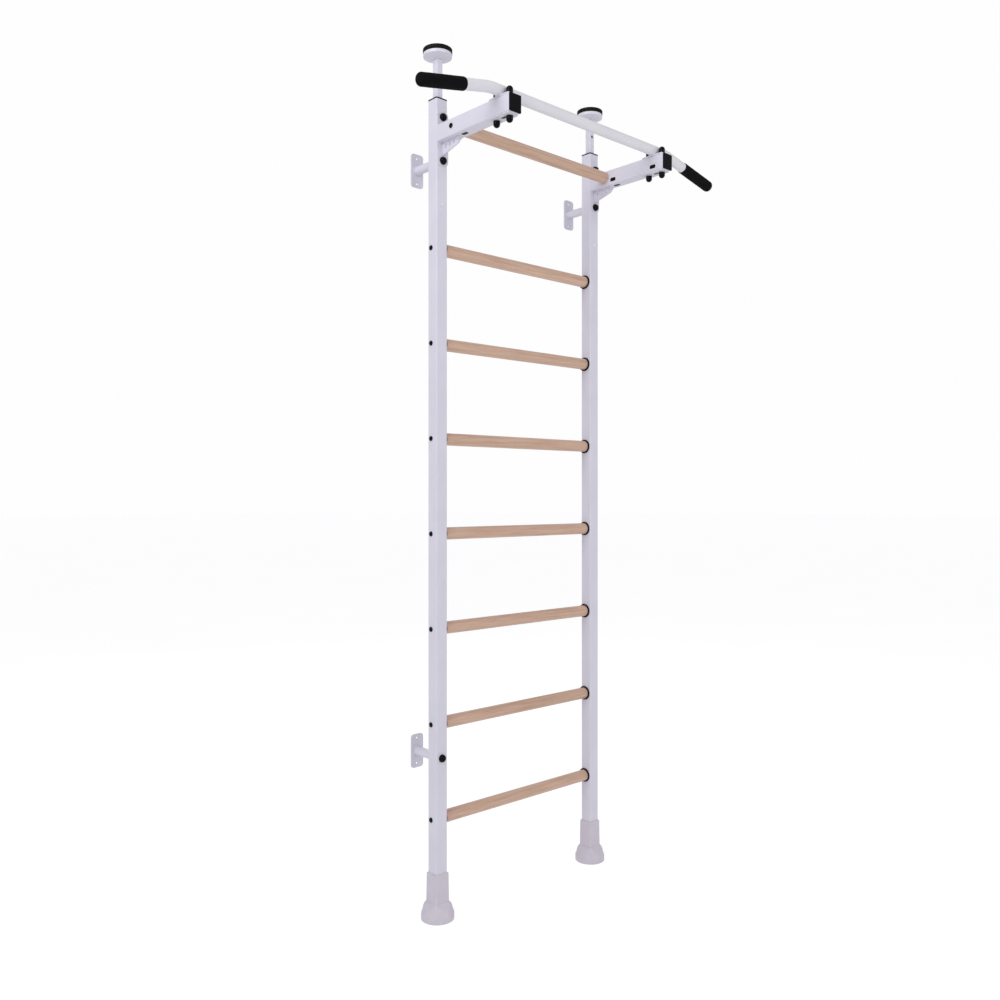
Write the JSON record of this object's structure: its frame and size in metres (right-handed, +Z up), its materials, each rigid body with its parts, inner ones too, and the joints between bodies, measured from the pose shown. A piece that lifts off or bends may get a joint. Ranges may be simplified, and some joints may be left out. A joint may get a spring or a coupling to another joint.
{
  "type": "wall bar ladder with pull-up bar",
  "caption": "Floor-to-ceiling ladder of steel posts and beech rungs, with ceiling jacks, wall brackets and a front pull-up bar on two arms.",
  "frame": {"origin": "centre of the footprint on the floor, midway between the wall and the arms' front ends", "axes": "+X to the right as seen from the front, -Y towards the front and the pull-up bar, +Y towards the wall, +Z up"},
  "size_m": [1.1878, 0.41, 2.421],
  "materials": {
    "white_powder_coat": "fine smooth powder coat, semi gloss",
    "beech": "clear satin varnish",
    "white_rubber": "matt moulded rubber",
    "black_rubber": "matt moulded rubber",
    "black_foam": "closed-cell foam sleeve",
    "black_plastic": "moulded plastic, light grain",
    "white_plastic": "moulded plastic",
    "zinc_steel": "bright zinc plate"
  },
  "bodies": {
    "frame": {"arm_end_plugs": "black_plastic", "arm_rung": "beech", "arm_slot_plugs": "black_plastic", "arm_upper_bolts": "zinc_steel", "arm_weld_nuts": "zinc_steel", "bar_bolt_caps": "black_plastic", "bar_bolts": "zinc_steel", "bar_clamp_plates": "white_powder_coat", "bar_end_plugs": "black_plastic", "bar_nuts": "zinc_steel", "bar_washers": "zinc_steel", "bolt_knobs": "black_plastic", "bracket_bolts": "zinc_steel", "bracket_nuts": "zinc_steel", "left_arm_gusset": "white_powder_coat", "left_arm_plate": "white_powder_coat", "left_arm_tube": "white_powder_coat", "left_bar_saddle": "white_powder_coat", "left_boot": "white_rubber", "left_grip": "black_foam", "left_post": "white_powder_coat", "left_post_bush": "black_plastic", "lower_left_wall_plate": "white_powder_coat", "post_hole_plugs": "white_plastic", "pull_up_bar": "white_powder_coat", "right_arm_gusset": "white_powder_coat", "right_arm_plate": "white_powder_coat", "right_arm_tube": "white_powder_coat", "right_bar_saddle": "white_powder_coat", "right_boot": "white_rubber", "right_grip": "black_foam", "right_post": "white_powder_coat", "right_post_bush": "black_plastic", "rung_1": "beech", "rung_2": "beech", "rung_3": "beech", "rung_4": "beech", "rung_5": "beech", "rung_6": "beech", "rung_7": "beech", "rung_bolt_caps": "black_plastic", "rung_bolts": "zinc_steel", "rung_gaskets": "black_rubber", "rung_inserts": "zinc_steel", "upper_left_wall_plate": "white_powder_coat", "upper_right_wall_plate": "white_powder_coat", "wall_stubs": "white_powder_coat"},
    "left_stem": {"left_jack_stem": "white_powder_coat", "left_jack_guide": "black_plastic", "left_jack_nut": "zinc_steel"},
    "left_pad": {"left_ceiling_pad": "black_rubber"},
    "left_dish": {"left_jack_dish": "white_powder_coat", "left_jack_spindle": "zinc_steel"},
    "right_stem": {"right_jack_stem": "white_powder_coat", "right_jack_guide": "black_plastic", "right_jack_nut": "zinc_steel"},
    "right_pad": {"right_ceiling_pad": "black_rubber"},
    "right_dish": {"right_jack_dish": "white_powder_coat", "right_jack_spindle": "zinc_steel"}
  },
  "joints": [
    {"name": "left_stem_slide", "type": "slide", "parent": "frame", "child": "left_stem", "axis": [0, 0, 1], "range_m": [-0.042, 0.0555]},
    {"name": "left_pad_lift", "type": "slide", "parent": "left_stem", "child": "left_pad", "axis": [0, 0, 1], "range_m": [0, 0.018]},
    {"name": "left_dish_turn", "type": "hinge", "parent": "left_pad", "child": "left_dish", "pos_m": [-0.316, 0.109, 2.395], "axis": [0, 0, 1], "range_deg": [0, 2160]},
    {"name": "right_stem_slide", "type": "slide", "parent": "frame", "child": "right_stem", "axis": [0, 0, 1], "range_m": [-0.042, 0.0555]},
    {"name": "right_pad_lift", "type": "slide", "parent": "right_stem", "child": "right_pad", "axis": [0, 0, 1], "range_m": [0, 0.018]},
    {"name": "right_dish_turn", "type": "hinge", "parent": "right_pad", "child": "right_dish", "pos_m": [0.316, 0.109, 2.395], "axis": [0, 0, 1], "range_deg": [0, 2160]}
  ],
  "couplings": [
    {"joint": "left_pad_lift", "follows": "left_dish_turn", "m_per_rad": 0.00047746},
    {"joint": "right_pad_lift", "follows": "right_dish_turn", "m_per_rad": 0.00047746}
  ]
}
